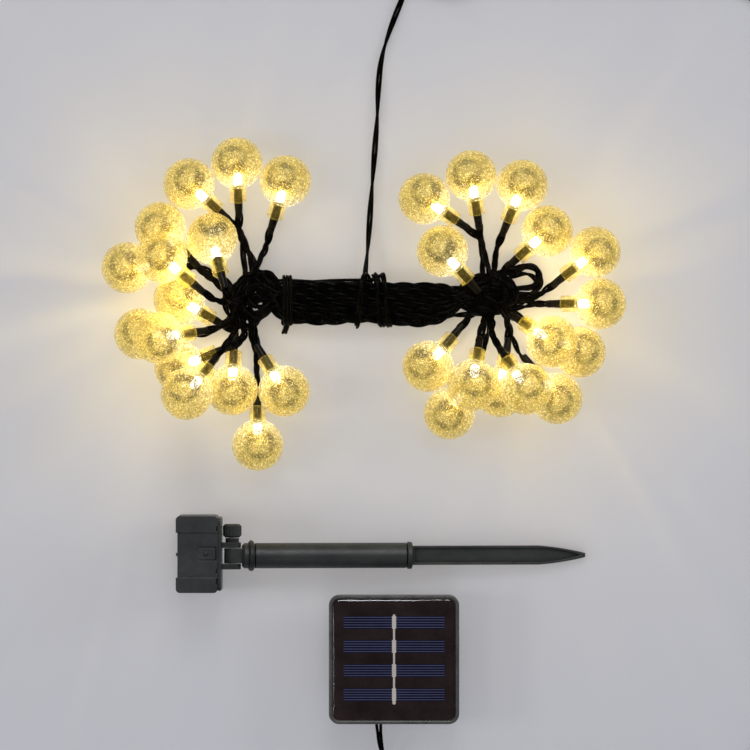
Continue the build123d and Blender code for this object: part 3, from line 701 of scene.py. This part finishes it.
def crackle_glass():
    """Clear plastic full of fine cracks; its emission paints the lamp's warm light caught in them, with
    painted glints, a painted glare round the lamp and painted dark specks.
    """
    material, tree, shader, place = start_material("crackle_globe")
    bend = node(tree, "ShaderNodeTexNoise", Vector=place, Scale=260.0, Detail=2.0).outputs["Color"]
    bend = vector_calc(tree, "SUBTRACT", bend, (0.5, 0.5, 0.5))
    bent = vector_calc(tree, "ADD", place, vector_calc(tree, "MULTIPLY", bend, (0.0022,) * 3))
    stretched = vector_calc(tree, "MULTIPLY", bent, (1.0, 1.0, 0.6))
    cells = node(tree, "ShaderNodeTexVoronoi", {"feature": "F1"}, Vector=stretched, Scale=1500.0)
    shade = node(tree, "ShaderNodeSeparateColor", Color=cells.outputs["Color"]).outputs[0]
    to_crack = node(
        tree, "ShaderNodeTexVoronoi", {"feature": "DISTANCE_TO_EDGE"}, Vector=stretched, Scale=1050.0
    ).outputs["Distance"]
    crack = remap(tree, to_crack, 0.03, 0.15, 1.0, 0.0)
    grit = remap(tree, noise_of(tree, bent, 1900.0, 3.0, 0.8), 0.34, 0.66)
    cloud = remap(tree, noise_of(tree, place, 150.0, 3.0), 0.32, 0.68)
    # Painted light: the emission paints the lamp's light on the wall, brighter and whiter near the lamp,
    # with a painted white glare round it.
    away = vector_calc(tree, "DISTANCE", place, (0.0, 0.0, 0.0085))
    near = calc(tree, "POWER", remap(tree, away, 0.0070, 0.0200, 1.0, 0.0), 1.6)
    # Painted glints: rare bright specks of the lamp's light in the cracks.
    glint = remap(tree, times(tree, shade, grit), 0.46, 0.70)
    # Painted shade: dark specks in a crescent round the lamp stand for dark things seen through the wall.
    top = vector_calc(tree, "DOT_PRODUCT", vector_calc(tree, "NORMALIZE", place), (0.0, 0.954, -0.30))
    patch = times(tree, remap(tree, top, 0.74, 0.86), remap(tree, top, 0.997, 0.975))
    patch = times(tree, patch, remap(tree, noise_of(tree, place, 110.0, 2.0), 0.36, 0.52))
    painted_dark_speck = times(tree, patch, remap(tree, grit, 0.68, 0.46))
    level = plus(tree, times(tree, shade, 0.26), times(tree, glint, 2.3))
    level = plus(tree, level, times(tree, cloud, 0.12))
    level = plus(tree, level, 0.13)
    level = times(tree, level, remap(tree, crack, 0.0, 1.0, 1.0, 0.40))
    level = times(tree, level, remap(tree, painted_dark_speck, 0.0, 1.0, 1.0, 0.12))
    falloff = plus(tree, times(tree, near, 0.85), 0.84)
    hot = calc(tree, "POWER", remap(tree, away, 0.0088, 0.0122, 1.0, 0.0), 2.0)
    falloff = plus(tree, falloff, times(tree, hot, times(tree, glint, 1.6)))
    strength = times(tree, times(tree, level, falloff), GLOBE_LIGHT)
    tone = plus(tree, times(tree, glint, 0.60), times(tree, near, 0.8), clamp=True)
    gold = blend_colours(tree, tone, rgb(1.0, 0.76, 0.11), rgb(1.0, 0.95, 0.66))
    tree.links.new(gold, shader.inputs["Emission Color"])
    tree.links.new(strength, shader.inputs["Emission Strength"])
    patchy = times(tree, cloud, grit)
    body = blend_colours(tree, patchy, rgb(0.42, 0.31, 0.035), rgb(0.84, 0.72, 0.22))
    body = blend_colours(tree, times(tree, crack, 0.6), body, rgb(0.14, 0.09, 0.01))
    body = blend_colours(tree, painted_dark_speck, body, rgb(0.05, 0.035, 0.01))
    tree.links.new(body, shader.inputs["Base Color"])
    edge = calc(tree, "POWER", node(tree, "ShaderNodeLayerWeight", Blend=0.30).outputs["Facing"], 2.5)
    solid = plus(tree, times(tree, crack, 0.34), times(tree, shade, 0.30))
    solid = plus(tree, solid, times(tree, edge, 0.35))
    solid = plus(tree, solid, times(tree, painted_dark_speck, 0.5))
    solid = plus(tree, solid, 0.16, clamp=True)
    tree.links.new(solid, shader.inputs["Alpha"])
    tree.links.new(remap(tree, grit, 0.0, 1.0, 0.08, 0.28), shader.inputs["Roughness"])
    height = plus(tree, to_crack, times(tree, grit, 0.25))
    bumpy(tree, shader, 0.8, 0.0003, height)
    return material


def collar_clear():
    """Clear amber-tinted plastic, warm where the lamp's light runs down it."""
    material, tree, shader, place = start_material("collar_clear")
    z = node(tree, "ShaderNodeSeparateXYZ", Vector=place).outputs[2]
    warm = remap(tree, z, 0.0185, 0.0115)
    cloud = remap(tree, noise_of(tree, place, 500.0, 4.0), 0.3, 0.7)
    body = blend_colours(tree, cloud, rgb(0.32, 0.23, 0.02), rgb(0.64, 0.52, 0.09))
    tree.links.new(body, shader.inputs["Base Color"])
    amber = blend_colours(tree, warm, rgb(0.9, 0.62, 0.10), rgb(1.0, 0.80, 0.20))
    tree.links.new(amber, shader.inputs["Emission Color"])
    glow = plus(tree, times(tree, times(tree, warm, cloud), 0.9), 0.16)
    tree.links.new(glow, shader.inputs["Emission Strength"])
    edge = node(tree, "ShaderNodeLayerWeight", Blend=0.5).outputs["Facing"]
    rim = times(tree, calc(tree, "POWER", edge, 4.0), 0.5)
    thick = plus(tree, remap(tree, edge, 0.12, 0.50, 0.0, 0.34), rim)
    tree.links.new(plus(tree, remap(tree, cloud, 0.0, 1.0, 0.02, 0.06), thick), shader.inputs["Alpha"])
    tree.links.new(remap(tree, cloud, 0.0, 1.0, 0.06, 0.18), shader.inputs["Roughness"])
    bumpy(tree, shader, 0.4, 0.0002, cloud)
    return material


def lamp_glow():
    """A lit lamp: white-hot, a little warmer in its shell."""
    material, tree, shader, place = start_material("lamp")
    cloud = remap(tree, noise_of(tree, place, 1500.0, 3.0), 0.3, 0.7)
    white_hot = blend_colours(tree, cloud, rgb(1.0, 0.90, 0.62), rgb(1.0, 0.97, 0.86))
    tree.links.new(white_hot, shader.inputs["Emission Color"])
    tree.links.new(remap(tree, cloud, 0.0, 1.0, 7.0, 12.0), shader.inputs["Emission Strength"])
    shader.inputs["Base Color"].default_value = rgb(0.9, 0.8, 0.5)
    tree.links.new(remap(tree, cloud, 0.0, 1.0, 0.15, 0.3), shader.inputs["Roughness"])
    return material


def cell_material():
    """Dark blue cells with pale finger lines across and a faint crystal cloud."""
    material, tree, shader, place = start_material("cell")
    y = node(tree, "ShaderNodeSeparateXYZ", Vector=place).outputs[1]
    first_row = MODULE_Y + CELL_SHIFT - 1.5 * CELL_PITCH - CELL_DEPTH / 2
    row = calc(tree, "DIVIDE", calc(tree, "SUBTRACT", y, first_row), CELL_PITCH)
    in_row = times(tree, calc(tree, "FRACT", row), CELL_PITCH / CELL_DEPTH)
    finger = calc(tree, "FRACT", times(tree, in_row, FINGERS_PER_ROW))
    line = remap(tree, calc(tree, "ABSOLUTE", calc(tree, "SUBTRACT", finger, 0.5)), 0.19, 0.10)
    cloud = remap(tree, noise_of(tree, place, 160.0, 4.0), 0.3, 0.7)
    crystal = node(tree, "ShaderNodeTexVoronoi", {"feature": "F1"}, Vector=place, Scale=420.0)
    tint = node(tree, "ShaderNodeSeparateColor", Color=crystal.outputs["Color"]).outputs[0]
    share = plus(tree, times(tree, cloud, 0.7), times(tree, tint, 0.3))
    blue = blend_colours(tree, share, rgb(0.008, 0.010, 0.026), rgb(0.013, 0.019, 0.066))
    blue = blend_colours(tree, times(tree, line, 0.85), blue, rgb(0.150, 0.155, 0.290))
    tree.links.new(blue, shader.inputs["Base Color"])
    tree.links.new(remap(tree, share, 0.0, 1.0, 0.3, 0.5), shader.inputs["Roughness"])
    shader.inputs["Specular IOR Level"].default_value = 0.06
    bumpy(tree, shader, 0.3, 0.00005, line)
    return material


def clear_resin():
    """Poured resin: clear, with a hard gloss and a faint ripple."""
    material, tree, shader, place = start_material("resin")
    ripple = noise_of(tree, place, 60.0, 2.0)
    speck = noise_of(tree, place, 2400.0, 3.0)
    height = plus(tree, ripple, times(tree, speck, 0.002))
    lumpy = node(tree, "ShaderNodeBump", Strength=0.25, Distance=0.0004, Height=height).outputs[0]
    gloss = node(tree, "ShaderNodeBsdfGlossy", Color=rgb(1, 1, 1), Normal=lumpy)
    tree.links.new(remap(tree, speck, 0.3, 0.8, 0.03, 0.09), gloss.inputs["Roughness"])
    tint = blend_colours(tree, ripple, rgb(0.86, 0.84, 0.82), rgb(0.95, 0.94, 0.93))
    through = node(tree, "ShaderNodeBsdfTransparent", Color=tint)
    angle = node(tree, "ShaderNodeFresnel", IOR=1.52, Normal=lumpy).outputs[0]
    both = node(tree, "ShaderNodeMixShader", i0=angle, i1=through.outputs[0], i2=gloss.outputs[0])
    output = next(n for n in tree.nodes if n.type == "OUTPUT_MATERIAL")
    tree.links.new(both.outputs[0], output.inputs["Surface"])
    tree.nodes.remove(shader)
    return material


# Each moulded plastic: dark, light, roughness, bump and painted edge highlight.
STAKE = moulded(
    "stake_plastic", (0.021, 0.023, 0.023), (0.036, 0.039, 0.038), 0.44, 0.5, 0.40, spec=0.4, crease=0.9
)
RING = moulded("dark_ring", (0.015, 0.017, 0.017), (0.026, 0.029, 0.029), 0.38, 0.4, 0.4, spec=0.4)
CASE = moulded("module_case", (0.018, 0.018, 0.019), (0.032, 0.032, 0.034), 0.40, 0.4, 0.35, spec=0.4)
BEZEL = moulded("module_rim", (0.046, 0.047, 0.044), (0.086, 0.087, 0.083), 0.30, 0.3, 0.5, edge=0.0003)
BOARD = moulded("board", (0.026, 0.017, 0.018), (0.046, 0.032, 0.032), 0.50, 0.06, 0.1, spec=0.03)
SLEEVE = moulded(
    "black_sleeve", (0.002, 0.002, 0.002), (0.006, 0.005, 0.004), 0.30, 0.3, 0.3, edge=0.0002, spec=0.12
)
BUTTON = moulded("button", (0.30, 0.02, 0.015), (0.46, 0.05, 0.03), 0.42, 0.3, 0.4)
WRAP = moulded("battery_wrap", (0.02, 0.10, 0.04), (0.05, 0.19, 0.08), 0.30, 0.2, 0.3, coat=0.4)
CIRCUIT = moulded("circuit_green", (0.01, 0.06, 0.02), (0.03, 0.13, 0.05), 0.40, 0.4, 0.2)
TIE = moulded("tie", (0.001, 0.001, 0.0008), (0.0035, 0.003, 0.002), 0.30, 0.3, 0.1, edge=0.0003, spec=0.06)
CABLE = glossy_cable("cable", (0.0005, 0.0005, 0.0005), (0.0018, 0.0016, 0.0014), 0.20)
LEAD = glossy_cable("lead", (0.0008, 0.0008, 0.0007), (0.0028, 0.0024, 0.0018), 0.20)
TINNED = metal("tinned_strip", (0.80, 0.74, 0.66), (1.0, 0.97, 0.90), 0.32, 0.04)
STEEL = metal("steel", (0.30, 0.30, 0.31), (0.55, 0.55, 0.56), 0.32, 0.5)
CRACKLE = crackle_glass()
COLLAR = collar_clear()
LAMP = lamp_glow()
CELL = cell_material()
RESIN = clear_resin()

NODE_FINISH = {
    "led_sleeves": SLEEVE, "led_lamps": LAMP, "module_bezel": BEZEL,
    "panel_board": BOARD, "solar_cells": CELL, "cell_ribbon": TINNED,
    "module_shell": CASE, "battery_cover": CASE, "cover_screws": STEEL, "battery": WRAP,
    "battery_contacts": TINNED, "circuit_board": CIRCUIT, "cable_gland": CASE, "power_button": BUTTON,
    "cradle_body": STAKE, "back_plate": STAKE, "release_tab": STAKE, "thumb_knob": STAKE,
    "pivot_bolt": STEEL, "pivot_washer": RING, "stake_neck": STAKE, "neck_ring": RING,
    "stake_tube": STAKE, "ground_spike": STAKE,
}


def finish_nodes():
    """Gives every CAD node that is shown its material."""
    for name, finish in NODE_FINISH.items():
        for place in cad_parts[name].material_slots:
            place.material = finish


# ---------------------------------------------------------------- resin
def rounded_outline(inset):
    """Places round a rounded rectangle, brought in by an inset, with the same count at every inset."""
    radius = max(RESIN_CORNER - inset, 0.0004)
    half_x, half_y = RESIN_HALF[0] - inset - radius, RESIN_HALF[1] - inset - radius

    def on_corner(corner, quarters):
        """The place on a corner's arc, at a number of quarter turns."""
        sx, sy = OUTLINE_CORNERS[corner % 4]
        turn = math.pi / 2 * quarters
        return Vector((sx * half_x, sy * half_y, 0)) + Vector((math.cos(turn), math.sin(turn), 0)) * radius

    places = []
    for corner in range(4):
        for i in range(CORNER_STEPS + 1):
            places.append(on_corner(corner, corner + i / CORNER_STEPS))
        before, after = places[-1], on_corner(corner + 1, corner + 1)
        for i in range(1, SIDE_STEPS):
            places.append(before.lerp(after, i / SIDE_STEPS))
    return places


def resin_face():
    """The glossy crowned face over the cells, poured a little unevenly."""
    bm = bmesh.new()
    rings = []
    rim_places, shelf_places = rounded_outline(0.0), rounded_outline(SHELF)
    for inset, height in RESIN_SECTION:
        ring = []
        for here, rim, shelf in zip(rounded_outline(inset), rim_places, shelf_places):
            slow = noise.noise(Vector((rim.x * 44, rim.y * 44, 5.1)))
            pooled = min(1.0, max(0.12, slow * 2.6 + 0.1))
            place = here
            if inset < SHELF:
                share = min(0.97, inset * (0.22 + 1.3 * pooled) / SHELF)
                place = rim.lerp(shelf, share)
            ripple = 0
            if inset > 0.0005:
                ripple = 0.000012 * noise.noise(Vector((here.x * 70, here.y * 70, 3.1)))
            z = height + ripple - RESIN_DROP
            ring.append(bm.verts.new((MODULE_X + place.x, MODULE_Y + place.y, z)))
        rings.append(ring)
    closed_skin(bm, rings).smooth = True
    face = link(bpy.data.objects.new("resin_face", mesh_from(bm, "resin_face")))
    face.data.materials.append(RESIN)
    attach(face, STRING_BODY)
    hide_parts("resin_cover")


# ---------------------------------------------------------------- globes
def globe_profile():
    """The wall of a globe and its collar, as radius, height and material, round to its start."""
    inner = GLOBE_RADIUS - GLOBE_WALL
    neck_out = math.asin(NECK_RADIUS / GLOBE_RADIUS)
    neck_in = math.asin(COLLAR_BORE / inner)
    points = []
    for i in range(5):
        points.append((COLLAR_RADIUS, COLLAR_END - 0.0004 - i * 0.0014, RIM))
    points.append((COLLAR_RADIUS + 0.0001, 0.0124, RIM))
    for i in range(OUTER_STEPS + 1):
        a = neck_out + (math.pi - neck_out) * i / OUTER_STEPS
        points.append((GLOBE_RADIUS * math.sin(a), GLOBE_RADIUS * math.cos(a), WALL))
    for i in range(INNER_STEPS + 1):
        a = math.pi - (math.pi - neck_in) * i / INNER_STEPS
        points.append((inner * math.sin(a), inner * math.cos(a), WALL))
    for i in range(1, 6):
        points.append((COLLAR_BORE, 0.0112 + i * 0.0015, RIM))
    points.append((COLLAR_BORE + 0.0001, COLLAR_END - 0.0001, RIM))
    points.append((COLLAR_BORE + 0.0003, COLLAR_END, RIM))
    points.append((COLLAR_RADIUS - 0.0002, COLLAR_END, RIM))
    return points


def dented(point, seed):
    """A place on the wall pushed in along the cracks round it."""
    shift = Vector((seed * 3.1, seed * 1.7, seed * 2.3))
    near, _ = noise.voronoi(point * 430 + shift)
    ridge = max(0.0, 1 - (near[1] - near[0]) * 4.5)
    wave = noise.noise(point * 900 + shift)
    return point * (1 - (0.00020 * ridge + 0.00007 * wave) / GLOBE_RADIUS)


def globe_mesh(seed):
    """One globe: a hollow crackled wall and its collar, revolved as a single closed surface."""
    profile = globe_profile()
    bm = bmesh.new()
    rings = []
    for radius, height, finish in profile:
        if radius < 1e-6:
            rings.append([bm.verts.new((0, 0, height))])
            continue
        ring = []
        for k in range(GLOBE_SIDES):
            turn = 2 * math.pi * k / GLOBE_SIDES
            place = Vector((radius * math.cos(turn), radius * math.sin(turn), height))
            if finish == WALL and height < CRACKLE_END:
                place = dented(place, seed)
            ring.append(bm.verts.new(place))
        rings.append(ring)
    count = len(rings)
    for i in range(count):
        a, b = rings[i], rings[(i + 1) % count]
        finish = max(profile[i][2], profile[(i + 1) % count][2])
        if len(a) == 1 and len(b) == 1:
            continue
        for k in range(GLOBE_SIDES):
            n = (k + 1) % GLOBE_SIDES
            if len(a) == 1:
                face = bm.faces.new((a[0], b[n], b[k]))
            elif len(b) == 1:
                face = bm.faces.new((a[k], a[n], b[0]))
            else:
                face = bm.faces.new((a[k], a[n], b[n], b[k]))
            face.smooth = True
            face.material_index = finish
    bmesh.ops.recalc_face_normals(bm, faces=bm.faces)
    mesh = mesh_from(bm, f"globe_wall_{seed}")
    mesh.materials.append(CRACKLE)
    mesh.materials.append(COLLAR)
    return mesh


def globes():
    """All thirty globes, standing for their CAD nodes."""
    meshes = [globe_mesh(seed) for seed in range(GLOBE_MESHES)]
    for number, place in all_globes():
        globe = link(bpy.data.objects.new(f"crackle_globe_{number:02d}", meshes[number % GLOBE_MESHES]))
        turn = globe_axis(place).to_track_quat("Z", "Y").to_matrix().to_4x4()
        roll = Matrix.Rotation(random.uniform(-0.35, 0.35), 4, "Z")
        globe.matrix_world = Matrix.Translation(globe_middle(place)) @ turn @ roll
        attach(globe, STRING_BODY)
        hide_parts(f"globe_{number:02d}")


# ---------------------------------------------------------------- floor and lights
def floor_material():
    """Plain pale paper, very slightly uneven."""
    material, tree, shader, place = start_material("floor")
    cloud = noise_of(tree, place, 9.0, 3.0)
    grey = blend_colours(tree, cloud, rgb(0.565, 0.568, 0.598), rgb(0.583, 0.586, 0.616))
    tree.links.new(grey, shader.inputs["Base Color"])
    shader.inputs["Roughness"].default_value = 0.9
    shader.inputs["Specular IOR Level"].default_value = 0.1
    return material


def area_light(name, place, size, power, colour=COOL_WHITE, target=Vector((0, 0.02, 0))):
    """A round soft light, turned to its target."""
    light = bpy.data.lights.new(name, "AREA")
    light.shape = "DISK"
    light.size = size
    light.energy = power
    light.color = colour
    made = link(bpy.data.objects.new(name, light))
    made.location = place
    made.rotation_euler = (target - Vector(place)).to_track_quat("-Z", "Y").to_euler()
    return made


def streaky(light, seed, outward):
    """Makes a point light brighter in some compass directions, so that it throws soft rays."""
    light.use_nodes = True
    tree = light.node_tree
    emit = next(n for n in tree.nodes if n.type == "EMISSION")
    way = tree.nodes.new("ShaderNodeTexCoord").outputs["Normal"]
    unit = vector_calc(tree, "NORMALIZE", vector_calc(tree, "MULTIPLY", way, (1.0, 1.0, 0.0)))
    moved = vector_calc(tree, "ADD", unit, (seed, seed * 2.0, 0.0))
    broad = noise_of(tree, moved, 4.0, 2.0)
    thin = noise_of(tree, moved, 26.0, 3.0, 0.6)
    rays = plus(tree, remap(tree, broad, 0.38, 0.62, 0.35, 1.0), remap(tree, thin, 0.50, 0.70, 0.0, 2.6))
    if outward != 0:
        away = times(tree, node(tree, "ShaderNodeSeparateXYZ", Vector=unit).outputs[0], outward)
        rays = times(tree, rays, remap(tree, away, -0.9, 0.3, 0.05, 1.0))
    tree.links.new(rays, emit.inputs["Strength"])


def warm_light(name, place, power, seed, outward):
    """A warm point light without shadows, for the glow round the globes; it is not seen itself."""
    light = bpy.data.lights.new(name, "POINT")
    light.energy = power
    light.color = WARM_WHITE
    light.shadow_soft_size = 0.004
    light.use_shadow = False
    made = link(bpy.data.objects.new(name, light))
    made.location = place
    made.visible_glossy = False
    made.visible_camera = False
    streaky(light, seed, outward)


def lights():
    """Soft lights all round, two that show in the resin, a dim world and the string's own warm light."""
    area_light("softbox_key", (0.15, 2.1, 2.9), 1.5, 12.0)
    area_light("softbox_open", (0.10, 2.1, 2.9), 1.5, 50.0).data.use_shadow = False
    area_light("softbox_left", (-1.6, -0.12, 1.15), 0.5, 4.0, (0.95, 0.97, 1.0))
    area_light("softbox_right", (1.5, 0.5, 0.9), 0.5, 3.0, (0.97, 0.98, 1.0))
    area_light("softbox_near", (0.05, -1.7, 1.25), 0.8, 2.4).visible_glossy = False
    area_light("strip_near", (0.30, -1.40, 2.30), 0.30, 1.8, target=MODULE_TOP)
    area_light("strip_left", (-1.30, -0.20, 2.30), 0.30, 1.8, target=MODULE_TOP)
    world = bpy.data.worlds.new("studio")
    world.use_nodes = True
    background = world.node_tree.nodes["Background"]
    background.inputs["Color"].default_value = rgb(0.88, 0.89, 0.96)
    background.inputs["Strength"].default_value = 0.32
    bpy.context.scene.world = world
    world.cycles_visibility.glossy = False
    for number, place in all_globes():
        middle = globe_middle(place) + globe_axis(place) * 0.007
        spot = (middle.x, middle.y, GLOW_Z)
        warm_light(f"glow_{number:02d}", spot, GLOW_POWER, number * 1.37, 0)
    for name, x, y in (("rays_left", -0.080, 0.068), ("rays_right", 0.077, 0.066)):
        warm_light(name, (x, y, RAYS_Z), RAYS_POWER, x * 40, math.copysign(1, x))


scene = bpy.context.scene
scene.view_settings.view_transform = "Standard"
scene.view_settings.look = "None"
scene.cycles.use_denoising = True
scene.cycles.max_bounces = 8
scene.cycles.transparent_max_bounces = 24
scene.cycles.sample_clamp_indirect = 3.0

runs = string_runs()
for run in runs:
    run.data.materials.append(CABLE)
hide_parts("string_hank", "bulb_tails")
lead = panel_lead()
lead.data.materials.append(LEAD)
hank_tie()
globes()
resin_face()
finish_nodes()
lights()

bm = bmesh.new()
bmesh.ops.create_grid(bm, x_segments=1, y_segments=1, size=4)
floor = link(bpy.data.objects.new("floor", mesh_from(bm, "floor")))
floor.location.z = -FLOOR_DROP
floor.data.materials.append(floor_material())
